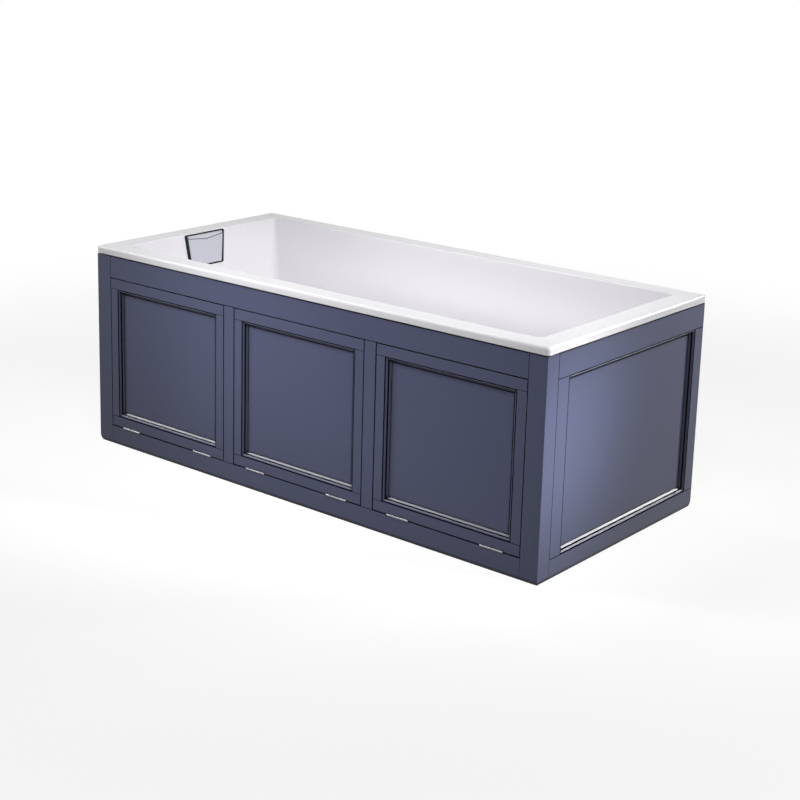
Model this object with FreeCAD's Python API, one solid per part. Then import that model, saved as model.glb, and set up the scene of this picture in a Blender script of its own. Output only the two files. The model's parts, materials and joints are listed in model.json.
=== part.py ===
import FreeCAD, Part
import math
import os

# A straight bath with a shaker panelled front and one panelled end. The front
# has three drop-down storage doors. The origin is on the floor, under the
# middle of the rim, with +Z up, -Y to the doors and +X to the panelled end.
# All sizes are in millimetres.

os.makedirs("parts", exist_ok=True)
V = FreeCAD.Vector
ALONG = V(1, 0, 0)
ACROSS = V(0, 1, 0)
UP = V(0, 0, 1)
FULL_TURN = 360
QUARTER_TURN = 90

# The bath as a whole
bath_length = 1600
bath_width = 750
bath_height = 600
overrun = 20
arris = 0.6
body_clearance = 0.3

# Acrylic tub
acrylic = 5
lip_height = 21
lip_corner_radius = 10
rim_edge_radius = 7
rim_side_width = 62
rim_end_width = 66
mouth_corner_radius = 16
mouth_edge_radius = 4
basin_depth = 415
wall_draft = 6
floor_corner_radius = 45
floor_blend_radius = 38

# Boards and battens that stiffen the tub
baseboard_thickness = 15
baseboard_head_inset = 134
baseboard_waste_gap = 120
baseboard_foot_gap = 55
rim_batten_thickness = 20
rim_batten_end_gap = 4
foot_batten_height = 45
foot_batten_end_gap = 75
back_batten_height = 20
back_batten_width = 40
back_batten_inset = 11

# Steel cradle and its levelling feet
channel_width = 45
channel_height = 30
channel_gauge = 2
channel_side_gap = 15
head_channel_inset = 170
foot_channel_inset = 70
foot_channel_end_gap = 20
stud_radius = 6
stud_clearance = 0.3
nut_across_flats = 19
nut_height = 10
foot_pad_radius = 22
foot_pad_height = 8
foot_boss_radius = 11
foot_boss_height = 22
foot_socket_floor = 5
hat_bracket_width = 50
hat_bracket_depth = 25
hat_flange_width = 22
hat_bridge_half = 30

# Wall brackets under the back rim
bracket_end_gap = 300
bracket_width = 60
bracket_leg = 44
bracket_gauge = 2
wall_screw_radius = 2.75
wall_screw_spacing = 32

# Click waste
waste_mouth_gap = 214
waste_hole_radius = 26
washer_thickness = 1.5
flange_radius = 36
flange_thickness = 3
sleeve_radius = 23
sleeve_bore_radius = 20
sleeve_length = 36
hub_radius = 8
hub_height = 20
spoke_width = 3
spoke_height = 6
spoke_count = 3
plug_cap_radius = 31
plug_cap_thickness = 5
plug_crown = 2
plug_stem_radius = 5
plug_stem_length = 38
plug_travel = 7.7
plug_seal_radius = 18.5
plug_seal_bore = 12
plug_seal_thickness = 2.5
lower_washer_thickness = 3
waste_collar_radius = 36
waste_collar_thickness = 5
waste_body_radius = 30
waste_body_height = 64
tail_radius = 23.9
tail_bore_radius = 20
tail_length = 28
spigot_radius = 14
spigot_bore_radius = 11.5
spigot_length = 62
spigot_drop = 37

# Overflow
overflow_drop = 95
overflow_hole_radius = 26
cover_radius = 34
cover_thickness = 4
cover_edge_radius = 2
cover_stand_off = 5
cover_sleeve_radius = 22
cover_sleeve_bore = 19
cover_sleeve_reach = 12
cover_slot_half_width = 12
elbow_collar_radius = 34
elbow_collar_thickness = 4
elbow_radius = 26
elbow_bore_radius = 22.3
elbow_length = 32
elbow_back_thickness = 3
elbow_spigot_reach = 52
overflow_pipe_stand_off = 14
pipe_radius = 16
pipe_bore_radius = 14.3
pipe_bend_radius = 70
pipe_lap = 14

# Headrest on the head wall
headrest_top_width = 166
headrest_bottom_width = 142
headrest_height = 103
headrest_drop = 3
headrest_corner_radius = 7
tray_depth = 5
tray_floor = 1.5
tray_border = 7
tray_end_border = 5
pad_edge_depth = 2.2
pad_fold_end_depth = 6
pad_fold_depth = 8
pad_foot_depth = 3.5
fold_end_drop = 12
fold_drop = 20

# Shaker front, end panel and doors
panel_inset = 3
panel_top_gap = 3
board_thickness = 18
front_stile_width = 56
post_width = 53
post_side_width = 49
front_rail_height = 65
bottom_rail_height = 56
mullion_width = 39
floor_corner_rounding = 18
end_stile_front_width = 47
end_stile_back_width = 42
end_bottom_rail_height = 52
end_corner_rounding = 16
door_side_gap = 2
door_top_gap = 2
door_bottom_gap = 2.5
door_stile_width = 29
door_rail_height = 30
infill_thickness = 5
groove_depth = 6
groove_end_gap = 0.5
bead_width = 15
bead_depth = 12
bead_set_back = 0.8
bead_slope_width = 4.2
bead_land_depth = 4.8
bead_land_end = 6.2
bead_belly = 0.5

# Butt hinges along the bottom of the doors
hinge_length = 70
hinge_from_edge = 51
knuckle_radius = 2.75
knuckle_count = 5
knuckle_gap = 0.3
leaf_thickness = 1.1
leaf_depth = 16
pin_radius = 1.25
pin_fit = 0.05

# Storage behind the doors
plinth_width = 34
plinth_height = 41
plinth_end_gap = 3
storage_floor_thickness = 15
storage_depth = 64
divider_thickness = 16
divider_clearance = 6

# Touch latches
latch_width = 22
latch_height = 18
latch_front_gap = 4.5
latch_body_depth = 35
latch_bore_radius = 4.3
latch_bore_depth = 30
plunger_radius = 4
plunger_length = 26

# Levels and faces that the sizes give
half_length = bath_length / 2
half_width = bath_width / 2
rim_underside = bath_height - acrylic
lip_bottom = bath_height - lip_height
mouth_half_length = half_length - rim_end_width
mouth_half_width = half_width - rim_side_width
basin_floor = bath_height - basin_depth
basin_underside = basin_floor - acrylic
draft_slope = math.tan(math.radians(wall_draft))
baseboard_underside = basin_underside - baseboard_thickness
front_face = panel_inset - half_width
front_back = front_face + board_thickness
end_face = half_length - panel_inset
end_back = end_face - board_thickness
panel_top = lip_bottom - panel_top_gap
opening_top = panel_top - front_rail_height
opening_bottom = bottom_rail_height
opening_left = front_stile_width - half_length
opening_right = end_face - post_width
door_count = 3
opening_width = (opening_right - opening_left - (door_count - 1) * mullion_width) / door_count
opening_pitch = opening_width + mullion_width
hinge_axis_level = opening_bottom + door_bottom_gap / 2
storage_back = front_back + storage_depth
waste_place = mouth_half_length - waste_mouth_gap
overflow_pipe_place = mouth_half_length + overflow_pipe_stand_off
baseboard_head = baseboard_head_inset - mouth_half_length
baseboard_foot = waste_place - baseboard_waste_gap
channel_half_length = -storage_back - channel_side_gap
foot_side_place = channel_half_length - foot_channel_end_gap
baseboard_half_width = foot_side_place - baseboard_foot_gap
head_channel_place = baseboard_head + head_channel_inset
foot_channel_place = baseboard_foot - foot_channel_inset
centre_foot_place = (head_channel_place + foot_channel_place) / 2
bracket_place = half_length - bracket_end_gap
pieces = {}


def box(low, high):
    size = high - low
    return Part.makeBox(size.x, size.y, size.z, low)


def rod(radius, start, end):
    return Part.makeCylinder(radius, (end - start).Length, start, end - start)


def ring_rod(radius, bore, start, end):
    return rod(radius, start, end).cut(rod(bore, start, end))


def join(shapes):
    first = shapes[0]
    return first.multiFuse(shapes[1:]).removeSplitter() if len(shapes) > 1 else first


def polygon_face(points):
    return Part.Face(Part.makePolygon(points + [points[0]]))


def keep(name, shapes):
    solids = [solid for shape in shapes for solid in shape.Solids]
    pieces[name] = solids


def in_plane(edge, direction, level):
    tolerance = arris / 10
    return all(abs(vertex.Point.dot(direction) - level) < tolerance for vertex in edge.Vertexes)


def eased(solid, direction, level):
    # Takes the arris off every edge that lies in the show face.
    return solid.makeChamfer(arris, [edge for edge in solid.Edges if in_plane(edge, direction, level)])


def rounded_rectangle(half_x, half_y, radius, level):
    diagonal = radius * (1 - math.sqrt(0.5))
    corners = [(1, -1), (1, 1), (-1, 1), (-1, -1)]
    arcs = []
    for turn, (sign_x, sign_y) in enumerate(corners):
        on_y_side = V(sign_x * (half_x - radius), sign_y * half_y, level)
        on_x_side = V(sign_x * half_x, sign_y * (half_y - radius), level)
        middle = V(sign_x * (half_x - diagonal), sign_y * (half_y - diagonal), level)
        ends = (on_y_side, on_x_side) if turn % 2 == 0 else (on_x_side, on_y_side)
        arcs.append((ends[0], middle, ends[1]))
    edges = []
    for number, arc in enumerate(arcs):
        edges.append(Part.Arc(*arc).toShape())
        edges.append(Part.makeLine(arc[2], arcs[(number + 1) % len(arcs)][0]))
    return Part.Wire(edges)


# Acrylic tub: a rim plate with a turned-down lip, and a basin that tapers.

def basin_section(level, grow):
    fall = bath_height - level
    share = fall / basin_depth
    radius = mouth_corner_radius + (floor_corner_radius - mouth_corner_radius) * share
    half_x = mouth_half_length - fall * draft_slope
    half_y = mouth_half_width - fall * draft_slope
    return rounded_rectangle(half_x + grow, half_y + grow, radius + grow, level)


def basin_solid(grow, top, bottom):
    loft = Part.makeLoft([basin_section(top, grow), basin_section(bottom, grow)], True, True)
    lowest = min(loft.Faces, key=lambda face: face.CenterOfMass.z)
    return loft.makeFillet(floor_blend_radius + grow, lowest.Edges)


def wall_frame(end, drop):
    # A local frame on the basin's end wall: +Z into the basin, Y across.
    level = bath_height - drop
    reach = mouth_half_length - drop * draft_slope
    turn = -end * (QUARTER_TURN - wall_draft)
    return FreeCAD.Placement(V(end * reach, 0, level), FreeCAD.Rotation(ACROSS, turn))


def placed(shape, placement):
    moved = shape.copy()
    moved.Placement = placement.multiply(shape.Placement)
    return moved


def tub_shell():
    outline = rounded_rectangle(half_length, half_width, lip_corner_radius, lip_bottom)
    rim = Part.Face(outline).extrude(UP * lip_height)
    top = max(rim.Faces, key=lambda face: face.CenterOfMass.z)
    rim = rim.makeFillet(rim_edge_radius, top.Edges)
    inner_radius = lip_corner_radius - acrylic
    hollow_outline = rounded_rectangle(half_length - acrylic, half_width - acrylic, inner_radius,
                                       lip_bottom - overrun)
    hollow = Part.Face(hollow_outline).extrude(UP * (rim_underside - lip_bottom + overrun))
    outer = basin_solid(acrylic, rim_underside, basin_underside)
    inner = basin_solid(0, bath_height, basin_floor)
    shell = rim.cut(hollow).fuse(outer).cut(inner).removeSplitter()
    mouth = [edge for edge in shell.Edges
             if all(abs(vertex.Point.z - bath_height) < arris and
                    abs(vertex.Point.y) < mouth_half_width + arris and
                    abs(vertex.Point.x) < mouth_half_length + arris for vertex in edge.Vertexes)]
    shell = shell.makeFillet(mouth_edge_radius, mouth)
    drain = rod(waste_hole_radius, V(waste_place, 0, basin_underside - overrun),
                V(waste_place, 0, basin_floor + overrun))
    spill = placed(rod(overflow_hole_radius, UP * -overrun, UP * overrun), wall_frame(1, overflow_drop))
    return shell.cut(drain).cut(spill)


def stiffeners():
    keep("baseboard", [box(V(baseboard_head, -baseboard_half_width, baseboard_underside),
                           V(baseboard_foot, baseboard_half_width, basin_underside))])
    batten_end = opening_right - rim_batten_end_gap
    keep("rim_batten_front", [box(V(-batten_end, front_back, opening_top),
                                  V(batten_end, front_back + rim_batten_thickness, rim_underside))])
    foot_batten_half = half_width - foot_batten_end_gap
    keep("rim_batten_foot", [box(V(end_back - rim_batten_thickness, -foot_batten_half,
                                   rim_underside - foot_batten_height),
                                 V(end_back, foot_batten_half, rim_underside))])
    back_edge = half_width - back_batten_inset
    keep("rim_batten_back", [box(V(-batten_end, back_edge - back_batten_width,
                                   rim_underside - back_batten_height),
                                 V(batten_end, back_edge, rim_underside))])


# Cradle: two channels under the baseboard, a centre bracket and five feet.

def hexagon_nut(centre_x, centre_y, bottom):
    corner = nut_across_flats / math.sqrt(3)
    sides = 6
    points = []
    for side in range(sides):
        angle = math.tau * side / sides
        points.append(V(centre_x + corner * math.cos(angle), centre_y + corner * math.sin(angle), bottom))
    nut = polygon_face(points).extrude(UP * nut_height)
    bore = stud_radius + body_clearance / 2
    return nut.cut(rod(bore, V(centre_x, centre_y, bottom), V(centre_x, centre_y, bottom + nut_height)))


def cradle_channel(place):
    half = channel_width / 2
    reach = channel_half_length
    bottom = baseboard_underside - channel_height
    solid = box(V(place - half, -reach, bottom), V(place + half, reach, baseboard_underside))
    hollow = box(V(place - half + channel_gauge, -reach, bottom),
                 V(place + half - channel_gauge, reach, baseboard_underside - channel_gauge))
    channel = solid.cut(hollow)
    for side in (-1, 1):
        centre = V(place, side * foot_side_place, 0)
        hole = rod(stud_radius + stud_clearance, centre + UP * bottom, centre + UP * baseboard_underside)
        channel = channel.cut(hole)
    return channel


def cradle():
    keep("cradle_channel_head", [cradle_channel(head_channel_place)])
    keep("cradle_channel_foot", [cradle_channel(foot_channel_place)])
    bridge = baseboard_underside - hat_bracket_depth
    outer = hat_bridge_half
    inner = hat_bridge_half - channel_gauge
    wing = hat_bridge_half + hat_flange_width
    top = baseboard_underside
    half_deep = hat_bracket_width / 2
    profile = [(-wing, top), (-inner, top), (-inner, bridge + channel_gauge),
               (inner, bridge + channel_gauge), (inner, top), (wing, top), (wing, top - channel_gauge),
               (outer, top - channel_gauge), (outer, bridge), (-outer, bridge),
               (-outer, top - channel_gauge), (-wing, top - channel_gauge)]
    points = [V(centre_foot_place + x, -half_deep, z) for x, z in profile]
    bracket = polygon_face(points).extrude(ACROSS * hat_bracket_width)
    centre = V(centre_foot_place, 0, 0)
    bracket = bracket.cut(rod(stud_radius + stud_clearance, centre + UP * (bridge - overrun),
                              centre + UP * (bridge + overrun)))
    keep("centre_foot_bracket", [bracket])
    web = baseboard_underside - channel_gauge
    feet = []
    for place in (head_channel_place, foot_channel_place):
        for side in (-1, 1):
            feet.append((place, side * foot_side_place, web, channel_gauge))
    feet.append((centre_foot_place, 0, bridge, channel_gauge))
    studs = []
    nuts = []
    pads = []
    for x, y, plate, gauge in feet:
        foot = V(x, y, 0)
        stud_top = plate + gauge + nut_height + stud_radius / 2
        studs.append(rod(stud_radius, foot + UP * foot_socket_floor, foot + UP * stud_top))
        nuts.append(hexagon_nut(x, y, plate - nut_height))
        nuts.append(hexagon_nut(x, y, plate + gauge))
        pad = rod(foot_pad_radius, foot, foot + UP * foot_pad_height)
        pad = pad.makeChamfer(arris, [edge for edge in pad.Edges if edge.Closed])
        boss = rod(foot_boss_radius, foot + UP * (foot_pad_height - arris), foot + UP * foot_boss_height)
        socket = rod(stud_radius + body_clearance, foot + UP * foot_socket_floor,
                     foot + UP * (foot_boss_height + overrun))
        pads.append(pad.fuse(boss).cut(socket))
    keep("foot_studs", studs)
    keep("foot_lock_nuts", nuts)
    keep("foot_pads", pads)


def wall_bracket(place):
    top = rim_underside - back_batten_height
    half = bracket_width / 2
    plate = box(V(place - half, half_width - bracket_leg, top - bracket_gauge),
                V(place + half, half_width, top))
    leg = box(V(place - half, half_width - bracket_gauge, top - bracket_leg),
              V(place + half, half_width, top))
    bracket = plate.fuse(leg)
    for side in (-1, 1):
        hole = V(place + side * wall_screw_spacing / 2, half_width, top - bracket_leg / 2)
        bracket = bracket.cut(rod(wall_screw_radius, hole - ACROSS * overrun, hole + ACROSS * overrun))
    return bracket.removeSplitter()


# Waste: a click plug in a spoked flange, clamped to a body below the floor.

def waste():
    axis = V(waste_place, 0, 0)
    floor_top = basin_floor + washer_thickness
    flange_top = floor_top + flange_thickness
    sleeve_bottom = floor_top - sleeve_length
    flange = rod(flange_radius, axis + UP * floor_top, axis + UP * flange_top)
    rim_edge = [edge for edge in flange.Edges if edge.Closed and edge.CenterOfMass.z > floor_top + arris]
    flange = flange.makeChamfer(flange_thickness / 2, rim_edge)
    sleeve = rod(sleeve_radius, axis + UP * sleeve_bottom, axis + UP * flange_top)
    bore = rod(sleeve_bore_radius, axis + UP * sleeve_bottom, axis + UP * flange_top)
    fitting = flange.fuse(sleeve).cut(bore)
    hub = rod(hub_radius, axis + UP * sleeve_bottom, axis + UP * (sleeve_bottom + hub_height))
    spokes = []
    for number in range(spoke_count):
        spoke = box(V(0, -spoke_width / 2, 0), V(sleeve_bore_radius + arris, spoke_width / 2, spoke_height))
        spoke.rotate(V(0, 0, 0), UP, FULL_TURN * number / spoke_count)
        spoke.translate(axis + UP * sleeve_bottom)
        spokes.append(spoke)
    fitting = join([fitting, hub] + spokes)
    hub_bore = rod(plug_stem_radius + body_clearance, axis + UP * sleeve_bottom,
                   axis + UP * (sleeve_bottom + hub_height))
    keep("waste_flange", [fitting.cut(hub_bore)])
    cap_bottom = flange_top + plug_travel + body_clearance
    cap = rod(plug_cap_radius, axis + UP * cap_bottom, axis + UP * (cap_bottom + plug_cap_thickness))
    cap_top = [edge for edge in cap.Edges if edge.Closed and edge.CenterOfMass.z > cap_bottom + arris]
    cap = cap.makeFillet(plug_crown, cap_top)
    stem = rod(plug_stem_radius, axis + UP * (cap_bottom - plug_stem_length), axis + UP * cap_bottom)
    keep("waste_plug", [cap.fuse(stem)])
    seal_bottom = cap_bottom - plug_seal_thickness
    keep("plug_seal", [ring_rod(plug_seal_radius, plug_seal_bore, axis + UP * seal_bottom,
                                axis + UP * cap_bottom)])
    body_top = basin_underside - lower_washer_thickness
    upper = ring_rod(flange_radius - flange_thickness, waste_hole_radius, axis + UP * basin_floor,
                     axis + UP * floor_top)
    lower = ring_rod(waste_collar_radius, waste_hole_radius, axis + UP * body_top,
                     axis + UP * basin_underside)
    keep("waste_washers", [upper, lower])
    body_bottom = body_top - waste_body_height
    collar = rod(waste_collar_radius, axis + UP * (body_top - waste_collar_thickness), axis + UP * body_top)
    barrel = rod(waste_body_radius, axis + UP * body_bottom, axis + UP * body_top)
    tail = rod(tail_radius, axis + UP * (body_bottom - tail_length), axis + UP * body_bottom)
    inlet = axis + UP * (body_top - spigot_drop)
    inlet_end = inlet + ALONG * spigot_length
    spigot = rod(spigot_radius, inlet, inlet_end)
    body = join([barrel, collar, tail, spigot])
    body = body.cut(rod(sleeve_radius + body_clearance, axis + UP * (body_bottom + waste_collar_thickness),
                        axis + UP * (body_top + overrun)))
    body = body.cut(rod(tail_bore_radius, axis + UP * (body_bottom - tail_length - overrun),
                        axis + UP * body_top))
    body = body.cut(rod(spigot_bore_radius, inlet, inlet_end + ALONG * overrun))
    keep("waste_body", [body])
    return inlet_end


# Overflow: a cover inside the foot wall, an elbow behind it and its pipe.

def overflow(inlet_end):
    frame = wall_frame(1, overflow_drop)
    disc = rod(cover_radius, UP * cover_stand_off, UP * (cover_stand_off + cover_thickness))
    front = [edge for edge in disc.Edges if edge.Closed and edge.CenterOfMass.z > cover_stand_off + arris]
    disc = disc.makeFillet(cover_edge_radius, front)
    sleeve = ring_rod(cover_sleeve_radius, cover_sleeve_bore, UP * -cover_sleeve_reach,
                      UP * cover_stand_off)
    slot = box(V(-cover_radius, -cover_slot_half_width, body_clearance),
               V(0, cover_slot_half_width, cover_stand_off))
    keep("overflow_cover", [placed(disc.fuse(sleeve.cut(slot)).removeSplitter(), frame)])
    outside = -acrylic
    seat = outside - lower_washer_thickness
    keep("overflow_washer", [placed(ring_rod(elbow_collar_radius, overflow_hole_radius, UP * seat,
                                             UP * outside), frame)])
    back = seat - elbow_length
    collar = placed(rod(elbow_collar_radius, UP * (seat - elbow_collar_thickness), UP * seat), frame)
    barrel = placed(rod(elbow_radius, UP * back, UP * seat), frame)
    chamber = placed(rod(elbow_bore_radius, UP * (back + elbow_back_thickness), UP * seat), frame)
    top = V(overflow_pipe_place, 0, bath_height - overflow_drop)
    spigot_end = top - UP * elbow_spigot_reach
    spigot = rod(spigot_radius, spigot_end, top)
    elbow = join([barrel, collar, spigot]).cut(chamber)
    elbow = elbow.cut(rod(spigot_bore_radius, spigot_end - UP * overrun, top))
    keep("overflow_elbow", [elbow])
    start = spigot_end + UP * pipe_lap
    corner = V(start.x, 0, inlet_end.z)
    finish = inlet_end - ALONG * pipe_lap
    bend_start = corner + UP * pipe_bend_radius
    bend_end = corner - ALONG * pipe_bend_radius
    inside = pipe_bend_radius * (1 - math.sqrt(0.5))
    bend_middle = corner + UP * inside - ALONG * inside
    path = Part.Wire([Part.makeLine(start, bend_start),
                      Part.Arc(bend_start, bend_middle, bend_end).toShape(),
                      Part.makeLine(bend_end, finish)])
    tubes = []
    for radius in (pipe_radius, pipe_bore_radius):
        circle = Part.Wire(Part.makeCircle(radius, start, UP))
        tubes.append(path.makePipeShell([circle], True, False))
    keep("overflow_pipe", [tubes[0].cut(tubes[1])])


# Headrest: a tray on the head wall that holds a folded pad.

def trapezoid(top_half, bottom_half, top, bottom, level, radius):
    points = [V(top, -top_half, level), V(bottom, -bottom_half, level),
              V(bottom, bottom_half, level), V(top, top_half, level)]
    solid = polygon_face(points).extrude(UP * tray_depth)
    upright = [edge for edge in solid.Edges
               if abs(edge.Vertexes[0].Point.z - edge.Vertexes[-1].Point.z) > tray_depth / 2]
    return solid.makeFillet(radius, upright)


def facet_solid(points, faces):
    shells = [polygon_face([points[name] for name in face]) for face in faces]
    return Part.makeSolid(Part.makeShell(shells))


def headrest():
    frame = wall_frame(-1, headrest_drop)
    top_half = headrest_top_width / 2
    bottom_half = headrest_bottom_width / 2
    outer = trapezoid(top_half, bottom_half, 0, headrest_height, 0, headrest_corner_radius)
    recess_top = tray_end_border
    recess_bottom = headrest_height - tray_end_border
    recess = trapezoid(top_half - tray_border, bottom_half - tray_border, recess_top, recess_bottom,
                       tray_floor, headrest_corner_radius - tray_end_border)
    keep("headrest_base", [placed(outer.cut(recess), frame)])
    top = recess_top + body_clearance
    bottom = recess_bottom - body_clearance
    corner_cut = headrest_corner_radius - tray_end_border
    taper = (top_half - bottom_half) / headrest_height

    def half_at(place):
        return top_half - tray_border - body_clearance - corner_cut - (place - recess_top) * taper

    base = tray_floor
    edge_level = tray_floor + pad_edge_depth
    points = {}
    for side, sign in (("left", -1), ("right", 1)):
        points[side + "_top_back"] = V(top, sign * half_at(top), base)
        points[side + "_bottom_back"] = V(bottom, sign * half_at(bottom), base)
        points[side + "_top"] = V(top, sign * half_at(top), edge_level)
        points[side + "_fold"] = V(fold_end_drop, sign * half_at(fold_end_drop), base + pad_fold_end_depth)
        points[side + "_bottom"] = V(bottom, sign * half_at(bottom), base + pad_foot_depth)
    points["middle_top"] = V(top, 0, edge_level)
    points["middle_fold"] = V(fold_drop, 0, base + pad_fold_depth)
    points["middle_bottom"] = V(bottom, 0, base + pad_foot_depth)
    faces = [("left_top_back", "left_bottom_back", "right_bottom_back", "right_top_back"),
             ("left_top_back", "right_top_back", "right_top", "middle_top", "left_top"),
             ("left_bottom_back", "right_bottom_back", "right_bottom", "middle_bottom", "left_bottom")]
    for side in ("left", "right"):
        faces.append((side + "_top_back", side + "_bottom_back", side + "_bottom", side + "_fold",
                      side + "_top"))
        faces.append((side + "_top", side + "_fold", "middle_fold"))
        faces.append((side + "_top", "middle_fold", "middle_top"))
        faces.append((side + "_fold", side + "_bottom", "middle_fold"))
        faces.append((side + "_bottom", "middle_bottom", "middle_fold"))
    keep("headrest_pad", [placed(facet_solid(points, faces), frame)])


# Moulded bead: one stepped section, mitred at each end of every length.

def bead_length(length):
    land = -bead_land_depth
    foot = -bead_depth
    middle = V(0, (bead_land_end + bead_width) / 2 + bead_belly, (land + foot) / 2 + bead_belly)
    outline = [V(0, 0, foot), V(0, 0, -bead_set_back), V(0, bead_slope_width, land),
               V(0, bead_land_end, land)]
    edges = [Part.makeLine(outline[number], outline[number + 1]) for number in range(len(outline) - 1)]
    toe = V(0, bead_width, foot)
    edges.append(Part.Arc(outline[-1], middle, toe).toShape())
    edges.append(Part.makeLine(toe, outline[0]))
    stick = Part.Face(Part.Wire(edges)).extrude(ALONG * length)
    mitre = polygon_face([V(0, 0, foot), V(length, 0, foot), V(length - bead_width, bead_width, foot),
                          V(bead_width, bead_width, foot)]).extrude(UP * bead_depth)
    return stick.common(mitre)


def set_on(shape, origin, along, inward):
    outward = along.cross(inward)
    matrix = FreeCAD.Matrix(along.x, inward.x, outward.x, origin.x,
                            along.y, inward.y, outward.y, origin.y,
                            along.z, inward.z, outward.z, origin.z, 0, 0, 0, 1)
    moved = shape.copy()
    moved.Placement = FreeCAD.Placement(matrix)
    return moved


def bead_ring(corner, across, wide, high):
    far = corner + across * wide
    return [set_on(bead_length(wide), corner, across, UP),
            set_on(bead_length(high), far, UP, across * -1),
            set_on(bead_length(wide), far + UP * high, across * -1, UP * -1),
            set_on(bead_length(high), corner + UP * high, UP * -1, across)]


# Front frame, end panel and corner post.

def front_board(left, right, bottom, top):
    return box(V(left, front_face, bottom), V(right, front_back, top))


def hinge_starts(number):
    left = opening_left + number * opening_pitch
    return (left + hinge_from_edge, left + opening_width - hinge_from_edge - hinge_length)


def hinge_relief(start):
    radius = knuckle_radius + body_clearance
    axis = V(0, front_face, hinge_axis_level)
    return rod(radius, axis + ALONG * (start - body_clearance),
               axis + ALONG * (start + hinge_length + body_clearance))


def front_frame():
    stile = front_board(-half_length, opening_left, 0, panel_top)
    toe = [edge for edge in stile.Edges
           if edge.CenterOfMass.x < opening_left - front_stile_width / 2 and
           edge.CenterOfMass.z < arris and abs(edge.CenterOfMass.y - (front_face + front_back) / 2) < arris and
           edge.CenterOfMass.x < arris - half_length]
    stile = stile.makeFillet(floor_corner_rounding, toe)
    keep("front_stile", [eased(stile, ACROSS, front_face)])
    top_rail = front_board(opening_left, opening_right, opening_top, panel_top)
    keep("front_rail_top", [eased(top_rail, ACROSS, front_face)])
    bottom_rail = eased(front_board(opening_left, opening_right, 0, opening_bottom), ACROSS, front_face)
    for number in range(door_count):
        for start in hinge_starts(number):
            bottom_rail = bottom_rail.cut(hinge_relief(start))
    keep("front_rail_bottom", [bottom_rail])
    for number in range(1, door_count):
        right = opening_left + number * opening_pitch
        mullion = front_board(right - mullion_width, right, opening_bottom, opening_top)
        keep("front_mullion_%d" % number, [eased(mullion, ACROSS, front_face)])
    corner = V(end_face, front_face, 0)
    profile = [corner, corner - ALONG * post_width, corner + V(-post_width, board_thickness, 0),
               corner + V(-board_thickness, board_thickness, 0),
               corner + V(-board_thickness, post_side_width, 0), corner + V(0, post_side_width, 0)]
    post = polygon_face(profile).extrude(UP * panel_top)
    sharp = [edge for edge in post.Edges
             if in_plane(edge, ACROSS, front_face) or in_plane(edge, ALONG, end_face)]
    keep("corner_post", [post.makeChamfer(arris, sharp)])


def end_board(near, far, bottom, top):
    return box(V(end_back, near, bottom), V(end_face, far, top))


def end_panel():
    near = front_face + post_side_width
    far = half_width
    rail_bottom = panel_top - front_rail_height
    infill_near = near + end_stile_front_width
    infill_far = far - end_stile_back_width
    wide = infill_far - infill_near
    high = rail_bottom - end_bottom_rail_height
    seat = end_face - bead_depth
    groove = box(V(seat - infill_thickness, infill_near - groove_depth, end_bottom_rail_height - groove_depth),
                 V(seat, infill_far + groove_depth, rail_bottom + groove_depth))
    tongue = groove_depth - groove_end_gap
    infill = box(V(seat - infill_thickness, infill_near - tongue, end_bottom_rail_height - tongue),
                 V(seat, infill_far + tongue, rail_bottom + tongue))
    bottom_rail = end_board(near, far, 0, end_bottom_rail_height)
    toe = [edge for edge in bottom_rail.Edges
           if edge.CenterOfMass.y > far - arris and edge.CenterOfMass.z < arris]
    bottom_rail = bottom_rail.makeFillet(end_corner_rounding, toe)
    boards = {"end_rail_top": [end_board(near, far, rail_bottom, panel_top)],
              "end_rail_bottom": [bottom_rail],
              "end_stiles": [end_board(near, infill_near, end_bottom_rail_height, rail_bottom),
                             end_board(infill_far, far, end_bottom_rail_height, rail_bottom)]}
    for name, solids in boards.items():
        keep(name, [eased(solid, ALONG, end_face).cut(groove) for solid in solids])
    keep("end_infill", [infill])
    keep("end_moulding", bead_ring(V(end_face, infill_near, end_bottom_rail_height), ACROSS, wide, high))


# Doors and their hinges.

def door(number):
    name = "door_%d_" % (number + 1)
    left = opening_left + number * opening_pitch + door_side_gap
    right = left + opening_width - 2 * door_side_gap
    bottom = opening_bottom + door_bottom_gap
    top = opening_top - door_top_gap
    inner_left = left + door_stile_width
    inner_right = right - door_stile_width
    inner_bottom = bottom + door_rail_height
    inner_top = top - door_rail_height
    seat = front_face + bead_depth
    groove = box(V(inner_left - groove_depth, seat, inner_bottom - groove_depth),
                 V(inner_right + groove_depth, seat + infill_thickness, inner_top + groove_depth))
    tongue = groove_depth - groove_end_gap
    infill = box(V(inner_left - tongue, seat, inner_bottom - tongue),
                 V(inner_right + tongue, seat + infill_thickness, inner_top + tongue))
    low_rail = eased(front_board(left, right, bottom, inner_bottom), ACROSS, front_face).cut(groove)
    for start in hinge_starts(number):
        low_rail = low_rail.cut(hinge_relief(start))
    high_rail = eased(front_board(left, right, inner_top, top), ACROSS, front_face).cut(groove)
    stiles = [eased(front_board(left, inner_left, inner_bottom, inner_top), ACROSS, front_face).cut(groove),
              eased(front_board(inner_right, right, inner_bottom, inner_top), ACROSS, front_face).cut(groove)]
    keep(name + "rails", [low_rail, high_rail])
    keep(name + "stiles", stiles)
    keep(name + "infill", [infill])
    keep(name + "moulding", bead_ring(V(inner_left, front_face, inner_bottom), ALONG,
                                      inner_right - inner_left, inner_top - inner_bottom))
    keep(name + "hinge_leaves", [hinge_leaf(start, 1) for start in hinge_starts(number)])


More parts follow.
